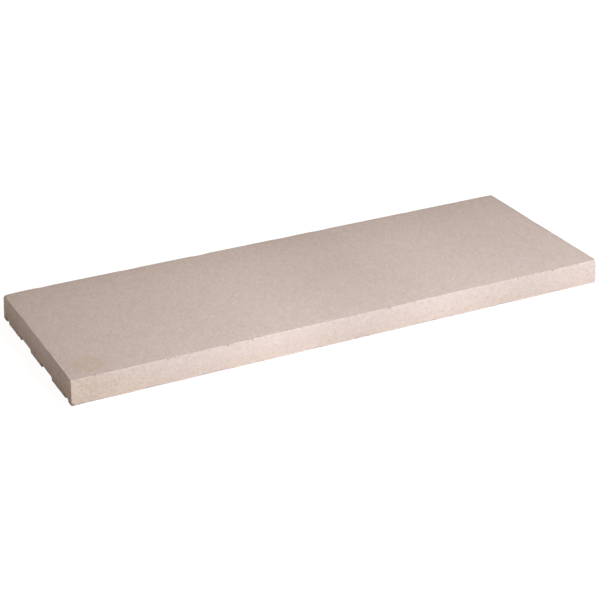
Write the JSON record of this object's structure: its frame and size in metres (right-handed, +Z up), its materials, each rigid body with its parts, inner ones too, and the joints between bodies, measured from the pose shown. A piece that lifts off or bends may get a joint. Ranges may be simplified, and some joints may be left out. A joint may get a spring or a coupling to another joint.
{
  "type": "concrete wall coping",
  "caption": "Flat concrete wall coping with slightly tapered sides, a drip groove along each long edge and mortar channels on its underside.",
  "frame": {"origin": "middle of the bed face, on the level that the coping lies on", "axes": "+X along the length, +Y across the width from the front side to the back, +Z up through the thickness"},
  "size_m": [1, 0.35, 0.045],
  "materials": {
    "cast_concrete": "matte"
  },
  "bodies": {
    "root": {"wall_coping": "cast_concrete"}
  },
  "joints": []
}
